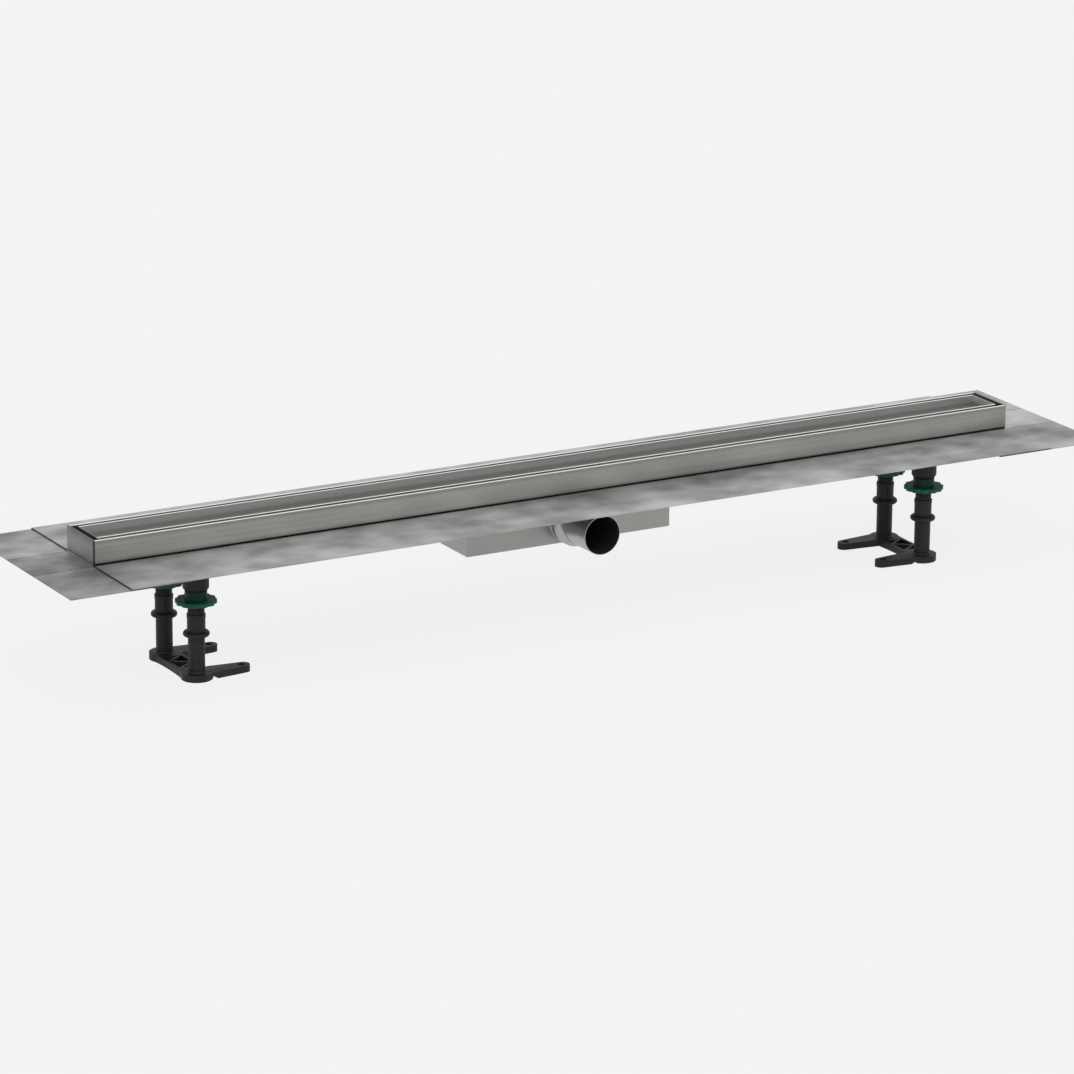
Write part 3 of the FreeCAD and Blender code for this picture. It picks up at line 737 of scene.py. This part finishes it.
# %% [markdown]
# A finished copy takes the solid's place. It rides on the same body, so that it moves with the foot
# or the nut, and it keeps the solid's material slot. Faces that meet at more than 20 degrees stay
# sharp in the shading and the rest is smooth, so that rounds and cylinders show no strips.

# %% Put a copy in the solid's place
def stand_in(name, shape, node):
    """Turn a bmesh into a piece that moves with this solid, has its finish and is shown for it."""
    mesh = bpy.data.meshes.new(name)
    shape.to_mesh(mesh)
    shape.free()
    mesh.shade_smooth()
    mesh.set_sharp_from_angle(angle=math.radians(20))
    piece = bpy.data.objects.new(name, mesh)
    scene.collection.objects.link(piece)
    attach(piece, body_of(nodes[node])[0])
    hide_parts(node)
    dress(piece, node)
    print(piece.name, len(mesh.polygons), "faces")
    return piece


print("pieces can stand in for solids")

# %% [markdown]
# ## Folded and moulded pieces
# The sheet parts get a hair of a round on every fold and cut edge. The sockets and the hand nuts
# are thick mouldings, so their edges are rounder. Other solids stay as they are: they lie inside,
# or are so thin that a round wouldn't show.

# %% Soften the sheet, the sockets and the nuts
SOFTNESS = {    # millimetres
    "front_wall": 0.35, "back_wall": 0.35, "left_end_plate": 0.35, "right_end_plate": 0.35,
    "tile_tray": 0.3, "trap_housing": 0.6,
}
LEGS = [f"{end}_{row}" for end in ("left", "right") for row in ("front", "back")]
for leg in LEGS:
    SOFTNESS[f"{leg}_levelling_nut"] = 0.7
    SOFTNESS[f"{leg}_leg_socket"] = 0.5
for node, width in SOFTNESS.items():
    shape = copied(node)
    soften(shape, width * MM)
    stand_in(f"{node}_softened", shape, node)

# %% [markdown]
# ## Black bars in the tray's end gaps
# A black bar fills the gap at each end of the tray. It is painted shade made as a piece, since that
# gap lies in deep shadow. The top of the copy is drawn up until it is almost level with the steel
# and rounded, so that the dark reaches the top of the gap.

# %% Black bars drawn up to fill the shaded gaps
BUFFER_BELOW_RIM = 0.25 * MM
for end in ("left", "right"):
    node = f"{end}_tray_buffer"
    top_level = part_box(node)[1][2]
    shape = copied(node)
    top = [vert for vert in shape.verts if vert.co.z > top_level - 0.1 * MM]
    shade_fill_raise = RIM_LEVEL - BUFFER_BELOW_RIM - top_level
    # Painted shade: the black bar's top is drawn up to just under the rim.
    bmesh.ops.translate(shape, verts=top, vec=(0.0, 0.0, shade_fill_raise))
    soften(shape, 0.4 * MM)
    stand_in(f"{node}_shade_filler", shape, node)
print("the buffers swell by", round(shade_fill_raise / MM, 2), "mm")

# %% [markdown]
# ## Beaded outlet socket
# The socket is rolled from thin tube. Its foot is spread where it is welded to the trap, two smooth
# beads hold the rubber ring, and its end is drawn in round the pipe. The solid's beads are made of
# short cones, which show as facets on bright steel, and bevelling them would blunt their shape. So
# one curve gives the radius at every distance: a plain tube with smooth bells added.

# %% The socket's outline, in millimetres
TUBE_END = 19.0             # the wide tube reaches this far from the trap
DRAWN_IN_OVER = 11.0        # and narrows to the mouth over this length
TUBE_EXTRA = 3.2
MOUTH_RADIUS = 25.4
BEAD_HEIGHT = 1.6
BEAD_HALF_WIDTH = 3.2
BEAD_PLACES = (15.0, 21.0)
SOCKET_WALL = 0.8
CLEAR_OF_PIPE = 25.05       # the inside never gets narrower than this


def bell(distance, middle, half_width):
    """A smooth hill that is 1 at the middle and 0 beyond the half width."""
    share = min(1.0, abs(distance - middle) / half_width)
    return (1.0 + math.cos(math.pi * share)) / 2


def socket_radius(distance):
    """Outside radius at this distance from the trap."""
    wide_tube = TUBE_EXTRA * bell(max(distance, TUBE_END), TUBE_END, DRAWN_IN_OVER)
    spread_foot = BEAD_HEIGHT * bell(distance, 1.0, 4.0)
    beads = sum(BEAD_HEIGHT * bell(distance, place, BEAD_HALF_WIDTH) for place in BEAD_PLACES)
    return MOUTH_RADIUS + wide_tube + spread_foot + beads


socket_low, socket_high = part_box("outlet_socket")
socket_length = (socket_high[1] - socket_low[1]) / MM
stations = [socket_length * i / 44 for i in range(45)]
outside = [(socket_radius(d), d) for d in stations]
inside = [(max(radius - SOCKET_WALL, CLEAR_OF_PIPE), d) for radius, d in reversed(outside)]
print("the socket is at its widest", round(max(outside)[0], 1), "mm from its middle")

# %% [markdown]
# The outline, down the outside and back up the inside, is a closed loop of edges. Spinning it one
# full turn round the pipe's middle line gives a wall with two faces and no open rim. The last
# ring falls on the first and is merged with it. A plane keeps the socket clear of the sheet above.

# %% Spin the socket
CLEAR_OF_SHEET = 0.1 * MM
shape = bmesh.new()
corners = [
    shape.verts.new((radius * MM, socket_high[1] - distance * MM, OUTLET_HEIGHT))
    for radius, distance in outside + inside]
loop = [shape.edges.new((corners[i - 1], corners[i])) for i in range(len(corners))]
bmesh.ops.spin(
    shape, geom=corners + loop, cent=(0.0, 0.0, OUTLET_HEIGHT), axis=(0.0, 1.0, 0.0),
    angle=2 * math.pi, steps=96, use_merge=True)
bmesh.ops.remove_doubles(shape, verts=shape.verts[:], dist=0.001 * MM)
bmesh.ops.recalc_face_normals(shape, faces=shape.faces[:])
cut_above(shape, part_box("front_wall")[0][2] - CLEAR_OF_SHEET)
stand_in("outlet_socket_beaded", shape, "outlet_socket")

# %% [markdown]
# ## Screw threads
# The legs and the lower stems carry a moulded trapezoid thread. A Screw modifier could draw it, and
# so could a bump in the finish, but a bump leaves the rod's outline straight. Here one tooth is
# drawn as a closed outline beside the axis and spun round it, and the spin's `dvec` lifts it a
# little at every step, so after one turn it has climbed by the pitch. A plain rod inside closes the
# valleys, and the tooth's two open ends get a face each.

# %% A threaded rod
THREAD_PITCH = 3.0 * MM
STEPS_A_TURN = 28
ROD_BURIED = 0.05 * MM      # the tooth's root lies this deep in the rod


def threaded_rod(shape, x, y, low, high, crest, depth):
    """Add an upright rod with a thread to the bmesh."""
    root = crest - depth
    rod_radius = root + ROD_BURIED
    rod_height = high - low
    bmesh.ops.create_cone(
        shape, cap_ends=True, segments=48, radius1=rod_radius, radius2=rod_radius,
        depth=rod_height, matrix=Matrix.Translation((x, y, low + rod_height / 2)))
    outline = ((root, 0.0), (crest, 0.3), (crest, 0.55), (root, 0.85))
    corners = [
        shape.verts.new((x + radius, y, low + share * THREAD_PITCH)) for radius, share in outline]
    loop = [shape.edges.new((corners[i - 1], corners[i])) for i in range(len(corners))]
    turns = rod_height / THREAD_PITCH - 1.0
    steps = round(turns * STEPS_A_TURN)
    before = set(shape.faces)
    bmesh.ops.spin(
        shape, geom=corners + loop, cent=(x, y, 0.0), axis=(0.0, 0.0, 1.0),
        dvec=(0.0, 0.0, THREAD_PITCH / STEPS_A_TURN), angle=2 * math.pi * steps / STEPS_A_TURN,
        steps=steps, use_merge=False)
    tooth = [face for face in shape.faces if face not in before]
    rims = {edge for face in tooth for edge in face.edges if edge.is_boundary}
    caps = bmesh.ops.holes_fill(shape, edges=list(rims), sides=4)["faces"]
    bmesh.ops.recalc_face_normals(shape, faces=tooth + caps)


print("a turn of thread has", STEPS_A_TURN, "steps and climbs", THREAD_PITCH / MM, "mm")

# %% [markdown]
# ## Legs
# A leg keeps its plug, ring and shank from the solid. The plain cylinder above the shank's shoulder
# is cut away with one plane and a threaded rod stands in its place, sunk a little into the shank.
# Cutting a thread out of the cylinder with a Boolean would be slow and leave ragged faces.

# %% Legs with threads
THREAD_CREST = 10.4 * MM
SHANK_TOP = 81.7 * MM       # the shoulder that stops the hand nut
ROD_SUNK = 0.5 * MM


def middle_from_above(node):
    """Middle of a round upright solid, seen from above."""
    low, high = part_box(node)
    return (low[0] + high[0]) / 2, (low[1] + high[1]) / 2


for leg in LEGS:
    node = f"{leg}_leg"
    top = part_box(node)[1][2]
    x, y = middle_from_above(f"{leg}_leg_socket")
    shape = copied(node)
    cut_above(shape, SHANK_TOP)
    soften(shape, 0.3 * MM)
    threaded_rod(shape, x, y, SHANK_TOP - ROD_SUNK, top, THREAD_CREST, 0.8 * MM)
    stand_in(f"{node}_threaded", shape, node)

# %% [markdown]
# ## Foot bases
# The base is one moulding: two pads with arms, a ribbed bar between them, and two stems that hold
# the legs. It is cut just above the collars of its stems, and each stem comes back with a shallower
# thread than the legs have. The arms and ribs are thick, so their edges are rounder than a leg's.

# %% Foot bases with threaded stems
COLLAR_TOP = 10.8 * MM
for end in ("left", "right"):
    node = f"{end}_foot_base"
    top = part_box(node)[1][2]
    shape = copied(node)
    cut_above(shape, COLLAR_TOP)
    soften(shape, 0.6 * MM)
    for row in ("front", "back"):
        x, y = middle_from_above(f"{end}_{row}_leg_socket")
        threaded_rod(shape, x, y, COLLAR_TOP - ROD_SUNK, top, THREAD_CREST, 0.45 * MM)
    stand_in(f"{node}_threaded", shape, node)

# %% [markdown]
# ## Sizes
# The drain as dressed has to be as large as its solids.

# %% The end
print("the scene is built")
